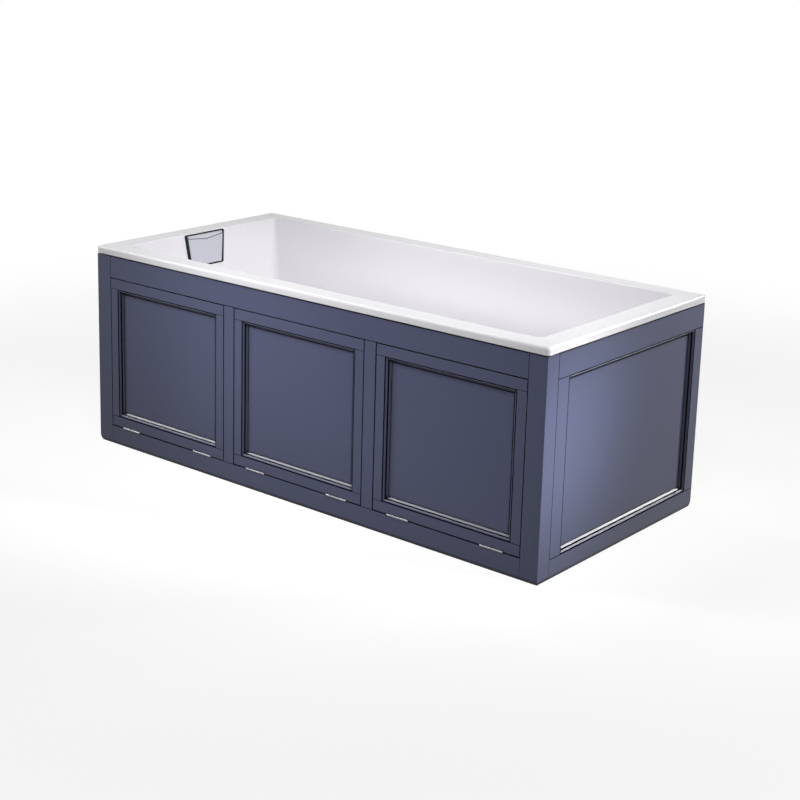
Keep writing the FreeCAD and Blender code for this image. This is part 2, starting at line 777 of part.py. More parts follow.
def hinge_leaf(start, parity):
    # Parity 1 is the door's leaf, above the axis, and 0 the frame's, below it.
    axis = V(0, front_face, hinge_axis_level)
    knuckle_length = (hinge_length - (knuckle_count - 1) * knuckle_gap) / knuckle_count
    if parity:
        bottom = opening_bottom + door_bottom_gap - leaf_thickness
    else:
        bottom = opening_bottom
    plate = box(V(start, front_face, bottom),
                V(start + hinge_length, front_face + leaf_depth, bottom + leaf_thickness))
    knuckles = []
    spaces = []
    for place in range(knuckle_count):
        left = start + place * (knuckle_length + knuckle_gap)
        if place % 2 == parity:
            knuckles.append(rod(knuckle_radius, axis + ALONG * left, axis + ALONG * (left + knuckle_length)))
        else:
            spaces.append(rod(knuckle_radius + body_clearance, axis + ALONG * (left - knuckle_gap),
                              axis + ALONG * (left + knuckle_length + knuckle_gap)))
    leaf = plate
    for space in spaces:
        leaf = leaf.cut(space)
    leaf = join([leaf] + knuckles)
    bore = rod(pin_radius + pin_fit, axis + ALONG * (start - overrun),
               axis + ALONG * (start + hinge_length + overrun))
    return leaf.cut(bore)


def hinges():
    starts = [start for number in range(door_count) for start in hinge_starts(number)]
    keep("frame_hinge_leaves", [hinge_leaf(start, 0) for start in starts])
    axis = V(0, front_face, hinge_axis_level)
    keep("hinge_pins", [rod(pin_radius, axis + ALONG * start, axis + ALONG * (start + hinge_length))
                        for start in starts])


# Storage behind the doors, and the battens that carry the panels.

def tub_side_at(level):
    return mouth_half_width + acrylic - (bath_height - level) * draft_slope


def storage():
    plinth_end = opening_right - plinth_end_gap
    keep("plinth_batten_front", [box(V(opening_left, front_back, 0),
                                     V(plinth_end, front_back + plinth_width, plinth_height))])
    keep("plinth_batten_end", [box(V(end_back - plinth_width, front_face + post_side_width, 0),
                                   V(end_back, half_width - end_corner_rounding, plinth_height))])
    keep("storage_floor", [box(V(opening_left - divider_thickness, front_back, plinth_height),
                               V(opening_right + divider_thickness, storage_back,
                                 plinth_height + storage_floor_thickness))])
    floor_level = plinth_height + storage_floor_thickness
    slope_back = -tub_side_at(opening_top) - divider_clearance
    square_top = bath_height - (tub_side_at(bath_height) + storage_back + divider_clearance) / draft_slope
    profile = [(front_back, floor_level), (storage_back, floor_level), (storage_back, square_top),
               (slope_back, opening_top), (front_back, opening_top)]
    places = [opening_left - divider_thickness]
    for number in range(1, door_count):
        middle = opening_left + number * opening_pitch - mullion_width / 2
        places.append(middle - divider_thickness / 2)
    places.append(opening_right)
    dividers = []
    for place in places:
        points = [V(place, y, z) for y, z in profile]
        dividers.append(polygon_face(points).extrude(ALONG * divider_thickness))
    keep("storage_dividers", dividers)


def latches():
    housings = []
    for number in range(door_count):
        middle = opening_left + number * opening_pitch + opening_width / 2
        front = front_back + latch_front_gap
        level = opening_top - latch_height / 2
        housing = box(V(middle - latch_width / 2, front, opening_top - latch_height),
                      V(middle + latch_width / 2, front + latch_body_depth, opening_top))
        bore = rod(latch_bore_radius, V(middle, front, level), V(middle, front + latch_bore_depth, level))
        housings.append(housing.cut(bore))
        tip = V(middle, front_back + body_clearance, level)
        plunger = rod(plunger_radius, tip, tip + ACROSS * plunger_length)
        nose = [edge for edge in plunger.Edges if edge.Closed and edge.CenterOfMass.y < tip.y + arris]
        keep("latch_plunger_%d" % (number + 1), [plunger.makeFillet(plunger_radius / 2, nose)])
    keep("latch_housings", housings)


keep("tub_shell", [tub_shell()])
stiffeners()
cradle()
keep("wall_brackets", [wall_bracket(side * bracket_place) for side in (-1, 1)])
overflow(waste())
headrest()
front_frame()
end_panel()
for door_number in range(door_count):
    door(door_number)
hinges()
storage()
latches()

for node, solids in pieces.items():
    shape = solids[0] if len(solids) == 1 else Part.makeCompound(solids)
    shape.exportStep("parts/" + node + ".step")
print(len(pieces), "sub-parts,", sum(len(solids) for solids in pieces.values()), "solids")
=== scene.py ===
import json
import math
from functools import partial
import bmesh
import bpy
from mathutils import Matrix, Vector
from mathutils.geometry import tessellate_polygon


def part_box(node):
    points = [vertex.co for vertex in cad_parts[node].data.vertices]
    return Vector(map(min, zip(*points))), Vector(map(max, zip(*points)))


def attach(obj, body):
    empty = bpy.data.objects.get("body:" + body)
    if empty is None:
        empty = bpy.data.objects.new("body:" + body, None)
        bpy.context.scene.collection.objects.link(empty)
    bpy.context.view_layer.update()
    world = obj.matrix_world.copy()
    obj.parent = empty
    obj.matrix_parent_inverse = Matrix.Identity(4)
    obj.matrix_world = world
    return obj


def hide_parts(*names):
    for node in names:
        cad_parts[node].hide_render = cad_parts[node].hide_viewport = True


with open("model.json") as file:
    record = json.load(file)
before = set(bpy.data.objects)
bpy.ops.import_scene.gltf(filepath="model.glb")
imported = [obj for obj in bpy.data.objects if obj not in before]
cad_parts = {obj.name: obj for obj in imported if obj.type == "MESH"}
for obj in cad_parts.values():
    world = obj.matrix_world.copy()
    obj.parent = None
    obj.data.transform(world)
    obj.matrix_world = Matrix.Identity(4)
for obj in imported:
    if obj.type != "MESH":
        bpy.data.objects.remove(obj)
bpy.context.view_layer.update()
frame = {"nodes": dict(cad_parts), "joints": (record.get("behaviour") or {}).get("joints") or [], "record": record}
print("frame loaded,", len(frame["nodes"]), "nodes")

mm = 0.001
nodeSlot = {row["node"]: row["material_slot"] for row in frame["record"]["subparts"]}
nodeBody = {node: body for body, nodes in frame["record"]["behaviour"]["bodies"].items() for node in nodes}


# Small helpers

def srgb(code):
    # turns a hex colour into the linear values that the shaders take
    parts = [int(code[place:place + 2], 16) / 255 for place in (1, 3, 5)]
    linear = [part / 12.92 if part <= 0.04045 else ((part + 0.055) / 1.055) ** 2.4 for part in parts]
    return (*linear, 1.0)


def perMetre(millimetres):
    # a texture scale whose pattern repeats about once in that many millimetres
    return 1000 / millimetres


def addNode(tree, kind, values=None, links=None, **options):
    # links: a source for each socket, or one for the first; a node as a source gives its first output
    node = tree.nodes.new("ShaderNode" + kind)
    for name, value in options.items():
        setattr(node, name, value)
    for socket, value in (values or {}).items():
        node.inputs[socket].default_value = value
    if not isinstance(links, dict):
        links = {0: links} if links else {}
    for socket, source in links.items():
        tree.links.new(getattr(source, "outputs", [source])[0], node.inputs[socket])
    return node


def startFinish(name, colour, roughness, **sockets):
    # a Principled finish, what adds its nodes, and the coordinates of the bath at rest
    finish = bpy.data.materials.new(name)
    finish.use_nodes = True
    inputs = finish.node_tree.nodes["Principled BSDF"].inputs
    inputs["Base Color"].default_value = srgb(colour)
    inputs["Roughness"].default_value = roughness
    for socket, value in sockets.items():
        inputs[socket.replace("_", " ")].default_value = value
    add = partial(addNode, finish.node_tree)
    return finish, add, add("TexCoord").outputs["Object"]


def endFinish(finish, tone=None, sheen=None, height=None, strength=0.0, reliefMm=0.0):
    # leads what varies over the surface to the shader: tone, sheen and fine relief
    tree = finish.node_tree
    inputs = tree.nodes["Principled BSDF"].inputs
    if tone:
        tree.links.new(tone.outputs[mixResult], inputs["Base Color"])
    if sheen:
        tree.links.new(sheen.outputs["Result"], inputs["Roughness"])
    if height:
        bump = addNode(tree, "Bump", {"Strength": strength, "Distance": reliefMm * mm}, {"Height": height})
        tree.links.new(bump.outputs["Normal"], inputs["Normal"])
    return finish


def addObject(name, data):
    holder = bpy.data.objects.new(name, data)
    bpy.context.scene.collection.objects.link(holder)
    return holder


def dressPiece(name, mesh, body, finishes, replaced=()):
    # a mesh becomes a piece of the bath, with its finishes and what the frame has to know
    piece = addObject(name, mesh)
    for finish in finishes:
        mesh.materials.append(finish)
    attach(piece, body)
    if replaced:
        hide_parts(*replaced)
    return piece


def addPiece(name, points, faces, body, finishes, replaced=()):
    mesh = bpy.data.meshes.new(name)
    mesh.from_pydata([tuple(point) for point in points], [], faces)
    mesh.update()
    return dressPiece(name, mesh, body, finishes, replaced)


def smoothed(piece, sharpDegrees):
    piece.data.shade_smooth()
    piece.data.set_sharp_from_angle(angle=math.radians(sharpDegrees))
    return piece


def facedOutward(piece, joinWithin=0):
    # turns the faces outward, once points that lie closer than joinWithin are one
    form = bmesh.new()
    form.from_mesh(piece.data)
    if joinWithin:
        bmesh.ops.remove_doubles(form, verts=form.verts, dist=joinWithin)
    bmesh.ops.recalc_face_normals(form, faces=form.faces)
    form.to_mesh(piece.data)
    form.free()
    return piece


def ringFaces(ringCount, pointCount, closed=False):
    # quads between rings that hold as many points each
    faces = []
    last = ringCount if closed else ringCount - 1
    for ring in range(last):
        low = ring * pointCount
        high = (ring + 1) % ringCount * pointCount
        for point in range(pointCount):
            after = (point + 1) % pointCount
            faces.append((low + point, low + after, high + after, high + point))
    return faces


# Finishes

mixFrom, mixTo, mixResult = 6, 7, 2  # the Mix node's sockets when it mixes colours


def vacuumFormedAcrylic():
    # cast acrylic sheet drawn over a mould: wet gloss with a slow waviness from the forming
    finish, add, place = startFinish("vacuumFormedAcrylic", "#efedf1", 0.09, IOR=1.49)
    wave = add("TexNoise", {"Scale": perMetre(140), "Detail": 1.5}, place)
    speck = add("TexNoise", {"Scale": perMetre(3), "Detail": 2.0}, place)
    sheen = add("MapRange", {"To Min": 0.07, "To Max": 0.13}, speck)
    return endFinish(finish, None, sheen, wave, strength=0.12, reliefMm=0.6)


def sprayedGlassFibre():
    # chopped strands in clear resin, rolled on by hand: greyish, uneven and half gloss
    finish, add, place = startFinish("sprayedGlassFibre", "#cfcec4", 0.42, IOR=1.55)
    bend = add("TexNoise", {"Scale": perMetre(25), "Detail": 3.0}, place)
    drift = add("VectorMath", {"Scale": 30 * mm}, bend.outputs["Color"], operation="SCALE")
    bent = add("VectorMath", {}, {0: place, 1: drift}, operation="ADD")
    strand = add("TexVoronoi", {"Scale": perMetre(11)}, bent, feature="DISTANCE_TO_EDGE")
    line = add("MapRange", {"From Max": 0.09, "To Min": 1.0, "To Max": 0.0}, strand)
    lumps = add("TexNoise", {"Scale": perMetre(45), "Detail": 4.0}, place)
    resin = add("Mix", {mixFrom: srgb("#c3c3b9"), mixTo: srgb("#dfded6")}, lumps, data_type="RGBA")
    tone = add("Mix", {mixTo: srgb("#ebeae4")}, {0: line, mixFrom: resin.outputs[mixResult]},
               data_type="RGBA")
    height = add("Math", {}, {0: line, 1: lumps}, operation="ADD")
    return endFinish(finish, tone, None, height, strength=0.5, reliefMm=0.8)


def sprayedSatinPaint():
    # water-based satin on fibreboard: even colour, soft sheen and fine orange peel, with painted shade that
    # darkens it toward near-black in recesses, grooves and joint lines
    finish, add, place = startFinish("sprayedSatinPaint", "#545976", 0.2, IOR=1.5, Specular_IOR_Level=0.25)
    cloud = add("TexNoise", {"Scale": perMetre(260), "Detail": 3.0}, place)
    face = add("Mix", {mixFrom: srgb("#505572"), mixTo: srgb("#545976")}, cloud, data_type="RGBA")
    # painted shade: where nearby parts hide the surface, its colour is mixed toward near-black
    shadeOcclusion = add("AmbientOcclusion", {"Distance": 12 * mm}, samples=8)
    outside = add("MapRange", {"From Min": 0.7, "From Max": 0.99}, shadeOcclusion.outputs["AO"])
    tone = add("Mix", {mixFrom: srgb("#07070a")}, {0: outside, mixTo: face.outputs[mixResult]},
               data_type="RGBA")
    peel = add("TexNoise", {"Scale": perMetre(2.4), "Detail": 2.0}, place)
    fibre = add("TexNoise", {"Scale": perMetre(9), "Detail": 4.0}, place)
    sheen = add("MapRange", {"To Min": 0.16, "To Max": 0.24}, fibre)
    return endFinish(finish, tone, sheen, peel, strength=0.16, reliefMm=0.12)


def paintedGrooveShade():
    # painted shade: the same paint made dull and nearly black, put on a moulding's grooves and along the joints
    # where shade falls
    finish, add, place = startFinish("paintedGrooveShade", "#0a0b0f", 0.7, IOR=1.5, Specular_IOR_Level=0.0)
    cloud = add("TexNoise", {"Scale": perMetre(12), "Detail": 2.0}, place)
    tone = add("Mix", {mixFrom: srgb("#08090d"), mixTo: srgb("#0c0d12")}, cloud, data_type="RGBA")
    return endFinish(finish, tone)


def resinChipboard():
    # flakes of wood pressed in resin: mottled tan with darker flakes and a dull face
    finish, add, place = startFinish("resinChipboard", "#b8996b", 0.62, IOR=1.5)
    flat = add("Mapping", {"Scale": (1.0, 2.2, 1.0)}, place)
    flake = add("TexVoronoi", {"Scale": perMetre(7)}, flat)
    grain = add("TexNoise", {"Scale": perMetre(2.5), "Detail": 5.0}, place)
    flakes = add("Mix", {mixFrom: srgb("#8f6f45"), mixTo: srgb("#d0b283")}, flake.outputs["Color"],
                 data_type="RGBA")
    tone = add("Mix", {0: 0.35, mixTo: srgb("#b8996b")}, {mixFrom: flakes.outputs[mixResult]},
               data_type="RGBA")
    return endFinish(finish, tone, None, grain, strength=0.4, reliefMm=0.3)


def sawnPine(name, stretch):
    # rough-sawn redwood batten: yellow early wood, browner late wood and saw marks across it
    finish, add, place = startFinish(name, "#cba46c", 0.66, IOR=1.5)
    along = add("Mapping", {"Scale": stretch}, place)
    rings = add("TexNoise", {"Scale": perMetre(7), "Detail": 3.0, "Distortion": 0.6}, along)
    band = add("MapRange", {"From Min": 0.42, "From Max": 0.62}, rings)
    tone = add("Mix", {mixFrom: srgb("#dcb985"), mixTo: srgb("#b38449")}, band, data_type="RGBA")
    fuzz = add("TexNoise", {"Scale": perMetre(1.6), "Detail": 4.0}, along)
    return endFinish(finish, tone, None, fuzz, strength=0.5, reliefMm=0.35)


def melamineBoard():
    # white melamine paper on chipboard: flat white with a pearl texture from the press plate
    finish, add, place = startFinish("melamineBoard", "#dedcd7", 0.46, IOR=1.55)
    pearl = add("TexNoise", {"Scale": perMetre(1.8), "Detail": 3.0}, place)
    sheen = add("MapRange", {"To Min": 0.4, "To Max": 0.52}, pearl)
    return endFinish(finish, None, sheen, pearl, strength=0.25, reliefMm=0.12)


def zincPlatedSteel():
    # bright zinc on pressed strip: grey metal with a faint spangle and cloudy passivation
    finish, add, place = startFinish("zincPlatedSteel", "#b9bdc0", 0.36, Metallic=1.0)
    spangle = add("TexVoronoi", {"Scale": perMetre(8)}, place)
    cloud = add("TexNoise", {"Scale": perMetre(35), "Detail": 4.0}, place)
    tone = add("Mix", {mixFrom: srgb("#a9adb1"), mixTo: srgb("#c9ccca")}, cloud, data_type="RGBA")
    sheen = add("MapRange", {"To Min": 0.28, "To Max": 0.44}, spangle.outputs["Color"])
    return endFinish(finish, tone, sheen)


def nickelPlatedSteel():
    # nickel on rolled strip: a soft grey mirror with fine lines from the rolling
    finish, add, place = startFinish("nickelPlatedSteel", "#84848a", 0.26, Metallic=1.0)
    along = add("Mapping", {"Scale": (0.05, 1.0, 1.0)}, place)
    line = add("TexNoise", {"Scale": perMetre(0.9), "Detail": 3.0}, along)
    sheen = add("MapRange", {"To Min": 0.22, "To Max": 0.3}, line)
    return endFinish(finish, None, sheen, line, strength=0.1, reliefMm=0.05)


def polishedChrome():
    # chrome on polished brass: a clear mirror with the faintest haze
    finish, add, place = startFinish("polishedChrome", "#dfe1e4", 0.06, Metallic=1.0)
    haze = add("TexNoise", {"Scale": perMetre(14), "Detail": 3.0}, place)
    sheen = add("MapRange", {"To Min": 0.04, "To Max": 0.1}, haze)
    return endFinish(finish, None, sheen)


def mouldedPlastic(name, dark, light, roughness, grainMm, reliefMm, **sockets):
    # injection moulding: one tone with small drifts, and the spark-eroded grain of its mould
    finish, add, place = startFinish(name, light, roughness, IOR=1.5, **sockets)
    cloud = add("TexNoise", {"Scale": perMetre(40), "Detail": 2.0}, place)
    tone = add("Mix", {mixFrom: srgb(dark), mixTo: srgb(light)}, cloud, data_type="RGBA")
    grain = add("TexNoise", {"Scale": perMetre(grainMm), "Detail": 3.0}, place)
    return endFinish(finish, tone, None, grain, strength=0.3, reliefMm=reliefMm)


def skinnedFoam(name, dark, light):
    # self-skinned polyurethane foam, painted: soft sheen over a pebbled skin
    finish, add, place = startFinish(name, light, 0.4, IOR=1.5)
    pebble = add("TexVoronoi", {"Scale": perMetre(1.5)}, place)
    cloud = add("TexNoise", {"Scale": perMetre(22), "Detail": 2.0}, place)
    tone = add("Mix", {mixFrom: srgb(dark), mixTo: srgb(light)}, cloud, data_type="RGBA")
    return endFinish(finish, tone, None, pebble, strength=0.2, reliefMm=0.12)


acrylic = vacuumFormedAcrylic()
glassFibre = sprayedGlassFibre()
paint = sprayedSatinPaint()
grooveShadePaint = paintedGrooveShade()
pineAlongX = sawnPine("sawnPineLengthways", (0.06, 1.0, 1.0))
pineAlongY = sawnPine("sawnPineCrossways", (1.0, 0.06, 1.0))
zinc = zincPlatedSteel()
nickel = nickelPlatedSteel()
chrome = polishedChrome()
# black nylon for the black plastic parts, also put on the screw recesses' floors as painted shade
blackNylonAndRecessShade = mouldedPlastic("mouldedBlackNylon", "#161618", "#202023", 0.45, 1.2, 0.08)
foam = skinnedFoam("skinnedFoam", "#c3c4ce", "#cdced8")
foldShadedFoam = skinnedFoam("foldShadedFoam", "#55545d", "#5d5c65")  # painted shade along the fold's crease
trayPlastic = mouldedPlastic("mouldedBlackRubber", "#0e0d10", "#151417", 0.45, 1.4, 0.06,
                             Specular_IOR_Level=0.2)
finishes = {
    "white_acrylic": acrylic, "blue_paint": paint, "raw_board": resinChipboard(),
    "raw_batten": pineAlongX, "shelf_board": melamineBoard(),
    "zinc_steel": zinc, "hinge_steel": nickel, "chrome": chrome,
    "white_plastic": mouldedPlastic("mouldedWhitePolypropylene", "#dddcd8", "#e8e7e3", 0.36, 2.0, 0.05),
    "grey_plastic": mouldedPlastic("mouldedGreyAcetal", "#8f9193", "#9fa1a3", 0.34, 1.5, 0.04),
    "black_plastic": blackNylonAndRecessShade,
    "rubber": mouldedPlastic("mouldedBlackSeal", "#151515", "#1f1f1f", 0.72, 0.9, 0.06),
    "headrest_black": trayPlastic, "headrest_silver": foam,
}
for node, cadObject in frame["nodes"].items():
    cadObject.data.materials.clear()
    cadObject.data.materials.append(finishes[nodeSlot[node]])
for node in ("rim_batten_foot", "plinth_batten_end"):
    frame["nodes"][node].data.materials[0] = pineAlongY
print("finishes made:", len(bpy.data.materials))


# The tub: rim, turned-down lip and basin drawn from one sheet

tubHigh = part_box("tub_shell")[1]
plugLow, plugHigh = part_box("waste_plug")
tub = {
    "halfLength": tubHigh.x, "halfWidth": tubHigh.y, "top": tubHigh.z, "wall": 5 * mm,
    "lipHeight": 21 * mm, "lipCorner": 10 * mm, "rimEdge": 7 * mm, "lipFoot": 0.8 * mm,
    "sideWidth": 62 * mm, "endWidth": 66 * mm, "mouthEdge": 4 * mm, "mouthCorner": 16 * mm,
    "basinDepth": 415 * mm, "draft": math.radians(6), "floorCorner": 45 * mm, "floorBlend": 38 * mm,
    "drainRadius": 26 * mm, "spillRadius": 26 * mm, "spillDrop": 95 * mm,
    "drainPlace": (plugLow.x + plugHigh.x) / 2,
    "cornerSteps": 14, "edgeSteps": 6, "blendSteps": 16, "sideSteps": 26, "endSteps": 12,
    "wallShares": (0.02, 0.2, 0.4, 0.6, 0.8, 0.985), "rimShares": (0.03, 0.5, 0.97),
    "floorShares": (0, 0.02, 0.12, 0.3, 0.55, 0.8, 0.985), "underRimShares": (0.02, 0.5, 0.97, 1),
    "underFloorShares": (0.015, 0.2, 0.45, 0.7, 0.88, 0.98, 1),
    "spillSteps": 64, "cutterLength": 40 * mm, "smoothBelow": 32,
}
mouthHalf = (tub["halfLength"] - tub["endWidth"], tub["halfWidth"] - tub["sideWidth"])
draftSlope = math.tan(tub["draft"])


def planRing(halfX, halfY, radius, level):
    # a rounded rectangle, anticlockwise from the right-hand end
    points = []
    sides = (tub["sideSteps"], tub["endSteps"])
    signs = ((1, 1), (-1, 1), (-1, -1), (1, -1))
    arcs = []
    for corner, (signX, signY) in enumerate(signs):
        centre = Vector((signX * (halfX - radius), signY * (halfY - radius), level))
        arc = []
        for step in range(tub["cornerSteps"] + 1):
            angle = math.radians(90) * (corner + step / tub["cornerSteps"])
            arc.append(centre + Vector((math.cos(angle), math.sin(angle), 0)) * radius)
        arcs.append(arc)
    for corner, arc in enumerate(arcs):
        points += arc
        after = arcs[(corner + 1) % 4][0]
        steps = sides[corner % 2]
        points += [arc[-1].lerp(after, step / steps) for step in range(1, steps)]
    return points


def wallSize(level, grow):
    # half sizes and corner radius of the basin's wall at a level, before its foot is rounded
    fall = tub["top"] - level
    share = fall / tub["basinDepth"]
    radius = tub["mouthCorner"] + (tub["floorCorner"] - tub["mouthCorner"]) * share + grow
    return mouthHalf[0] - fall * draftSlope + grow, mouthHalf[1] - fall * draftSlope + grow, radius


def insetRing(size, inset, level):
    # size holds the half length, the half width and the corner's radius
    return planRing(size[0] - inset, size[1] - inset, size[2] - inset, level)


def basinRings(grow, floorLevel, topLevel, blend):
    # from the floor's edge, round the blend and up the wall
    rings = []
    half = (math.pi / 2 + tub["draft"]) / 2
    reach = blend / math.tan(half)
    foot = wallSize(floorLevel, grow)
    for step in range(tub["blendSteps"] + 1):
        angle = -math.pi / 2 + (math.pi / 2 - tub["draft"]) * step / tub["blendSteps"]
        level = floorLevel + blend + blend * math.sin(angle)
        size = wallSize(level, grow)
        halfX = foot[0] - reach + blend * math.cos(angle)
        rings.append(insetRing(size, size[0] - halfX, level))
    start = floorLevel + blend - blend * math.sin(tub["draft"])
    for share in tub["wallShares"]:
        level = start + (topLevel - start) * share
        rings.append(insetRing(wallSize(level, grow), 0, level))
    return rings


def drainRing(like, radius, level):
    # a circle round the drain whose points lie on the rays to the ring's points
    points = []
    for point in like:
        angle = math.atan2(point.y, point.x - tub["drainPlace"])
        x = tub["drainPlace"] + radius * math.cos(angle)
        points.append(Vector((x, radius * math.sin(angle), level)))
    return points


def between(ringA, ringB, shares):
    # rings that lie at these shares of the way from one to the other
    return [[a.lerp(b, share) for a, b in zip(ringA, ringB)] for share in shares]


def tubRings():
    top = tub["top"]
    floorLevel = top - tub["basinDepth"]
    mouthReach = tub["mouthEdge"] / math.tan((math.pi / 2 + tub["draft"]) / 2)
    inside = basinRings(0, floorLevel, top - tub["mouthEdge"], tub["floorBlend"])
    rings = between(drainRing(inside[0], tub["drainRadius"], floorLevel), inside[0],
                    tub["floorShares"])
    rings += inside
    for step in range(tub["edgeSteps"] + 1):
        angle = math.pi - tub["draft"] - (math.pi / 2 - tub["draft"]) * step / tub["edgeSteps"]
        outward = mouthReach + tub["mouthEdge"] * math.cos(angle)
        level = top - tub["mouthEdge"] + tub["mouthEdge"] * math.sin(angle)
        rings.append(insetRing((*mouthHalf, tub["mouthCorner"]), -outward, level))
    edge = tub["rimEdge"]
    rim = (tub["halfLength"], tub["halfWidth"], tub["lipCorner"])
    rings += between(rings[-1], insetRing(rim, edge, top), tub["rimShares"])
    lipBottom = top - tub["lipHeight"]
    foot = tub["lipFoot"]
    outline = []
    for step in range(tub["edgeSteps"] + 1):
        angle = math.pi / 2 * step / tub["edgeSteps"]
        outline.append((edge - edge * math.sin(angle), top - edge + edge * math.cos(angle)))
    outline += [(0, top - edge - foot), (0, lipBottom + 2 * foot), (0, lipBottom + foot)]
    outline += [(foot / 3, lipBottom + foot / 3), (foot, lipBottom)]
    wall = tub["wall"]
    outline += [(wall - foot, lipBottom), (wall - foot / 3, lipBottom + foot / 3), (wall, lipBottom + foot)]
    outline += [(wall, lipBottom + 2 * foot), (wall, top - wall - foot), (wall, top - wall)]
    rings += [insetRing(rim, inset, level) for inset, level in outline]
    outside = basinRings(wall, floorLevel - wall, top - wall, tub["floorBlend"] + wall)
    collar = planRing(*wallSize(top - wall, wall), top - wall)
    underRim = len(rings)
    rings += between(rings[-1], collar, tub["underRimShares"])
    rings += outside[::-1]
    rings += between(outside[0], drainRing(outside[0], tub["drainRadius"], floorLevel - wall),
                     tub["underFloorShares"])
    return rings, underRim


def wallPlace(end, drop):
    # the frame of something on an end wall: +X down the wall, +Z into the basin
    reach = mouthHalf[0] - drop * draftSlope
    turn = Matrix.Rotation(math.radians(90) - tub["draft"], 4, "Y")
    flip = Matrix.Rotation(0 if end < 0 else math.pi, 4, "Z")
    return flip @ Matrix.Translation((-reach, 0, tub["top"] - drop)) @ turn


def makeTub():
    # acrylic inside and glass fibre from under the rim on, with the overflow's hole cut through
    rings, underRim = tubRings()
    count = len(rings[0])
    points = [point for ring in rings for point in ring]
    faces = ringFaces(len(rings), count, closed=True)
    piece = addPiece("tubFormed", points, faces, "root", [acrylic, glassFibre],
                     ["tub_shell"])
    for face in piece.data.polygons:
        face.material_index = int(face.index >= underRim * count)
    facedOutward(piece)
    form = bmesh.new()
    bmesh.ops.create_cone(form, cap_ends=True, segments=tub["spillSteps"], radius1=tub["spillRadius"],
                          radius2=tub["spillRadius"], depth=tub["cutterLength"],
                          matrix=wallPlace(1, tub["spillDrop"]))
    mesh = bpy.data.meshes.new("cutter")
    form.to_mesh(mesh)
    form.free()
    cutter = addObject("cutter", mesh)
    hole = piece.modifiers.new("spillHole", "BOOLEAN")
    hole.object = cutter
    hole.solver = "EXACT"
    graph = bpy.context.evaluated_depsgraph_get()
    piece.data = bpy.data.meshes.new_from_object(piece.evaluated_get(graph))
    piece.modifiers.clear()
    bpy.data.objects.remove(cutter)
    return smoothed(piece, tub["smoothBelow"])


print("tub formed:", len(makeTub().data.vertices), "points")


# Boards, battens, channels, nuts and latch housings get rounded arrises, this wide in millimetres

boards = {
    "front_stile": 1.2, "front_rail_top": 0.6, "front_rail_bottom": 0.5, "front_mullion_1": 1.2,
    "front_mullion_2": 1.2, "corner_post": 1.2,
    "end_rail_top": 0.6, "end_rail_bottom": 1.2, "end_stiles": 1.0,
    "door_1_rails": 1.0, "door_2_rails": 1.0, "door_3_rails": 1.0,
    "door_1_stiles": 1.1, "door_2_stiles": 1.1, "door_3_stiles": 1.1,
    "rim_batten_front": 1.5, "rim_batten_foot": 1.5, "rim_batten_back": 1.5,
    "plinth_batten_front": 1.5, "plinth_batten_end": 1.5, "baseboard": 0.8,
    "storage_floor": 0.6, "storage_dividers": 0.6, "foot_lock_nuts": 0.9, "latch_housings": 0.8,
    "cradle_channel_head": 0.5, "cradle_channel_foot": 0.5, "centre_foot_bracket": 0.5,
    "wall_brackets": 0.4,
}
easing = {"joinWithin": 0.01 * mm, "flatBelow": 1, "sharpAbove": 40, "segments": 2, "profile": 0.5,
          "flatNormal": 0.98}

# arrises painted with shade begin this far inside a board's sides and top, and this far above its foot
shadedArrises = {
    "front_rail_top": (0, 0), "front_rail_bottom": (0, 40 * mm), "front_mullion_1": (0, 0),
    "front_mullion_2": (0, 0), "end_rail_top": (0, 0), "end_rail_bottom": (0, 40 * mm),
    "end_stiles": (0, 0),
}
for number in (1, 2, 3):
    for boardKind in ("rails", "stiles"):
        shadedArrises["door_%d_%s" % (number, boardKind)] = (12 * mm, 12 * mm)


def easedCopy(node, width):
    # the node's own shape with its flats made whole and its sharp edges rounded
    source = frame["nodes"][node]
    form = bmesh.new()
    form.from_mesh(source.data)
    bmesh.ops.remove_doubles(form, verts=form.verts, dist=easing["joinWithin"])
    bmesh.ops.dissolve_limit(form, angle_limit=math.radians(easing["flatBelow"]), verts=form.verts,
                             edges=form.edges)
    sharpAngle = math.radians(easing["sharpAbove"])
    sharp = [edge for edge in form.edges
             if len(edge.link_faces) == 2 and edge.calc_face_angle() > sharpAngle]
    bmesh.ops.bevel(form, geom=sharp, offset=width * mm, segments=easing["segments"],
                    profile=easing["profile"], affect="EDGES", clamp_overlap=True)
    mesh = bpy.data.meshes.new(node + "Eased")
    form.to_mesh(mesh)
    form.free()
    return dressPiece(node + "Eased", mesh, nodeBody[node], [source.data.materials[0]],
                      [node])


def paintShadeOnArrises(piece, low, high, margin, footMargin):
    # painted shade: near-black paint on the arrises along the gaps and the mouldings, so that the gap lines look
    # dark, and not on the doors' outer edges
    piece.data.materials.append(grooveShadePaint)
    for face in piece.data.polygons:
        eased = max(abs(part) for part in face.normal) < easing["flatNormal"]
        x, z = face.center.x, face.center.z
        inside = low.x + margin < x < high.x - margin and low.z + footMargin < z <= high.z - margin
        if eased and inside:
            face.material_index = 1


for node, width in boards.items():
    piece = easedCopy(node, width)
    if node in shadedArrises:
        paintShadeOnArrises(piece, *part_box(node), *shadedArrises[node])
print("boards eased:", len(boards))


# Moulded bead round every panel: groove, round crest, steep quirk and chamfer, mitred at the corners

bead = {
    "width": 15 * mm, "depth": 12 * mm, "setBack": 0.8 * mm, "groove": 3.2 * mm, "crestStart": 2.0 * mm,
    "round": 0.9 * mm, "roundSteps": 6, "flank": 3.1 * mm, "quirkFloor": 9.2 * mm, "quirkEnd": 8.3 * mm,
    "chamfer": 4.1 * mm, "toe": 1.9 * mm, "roundTurn": 135, "lead": 0.15 * mm, "smoothBelow": 28,
}


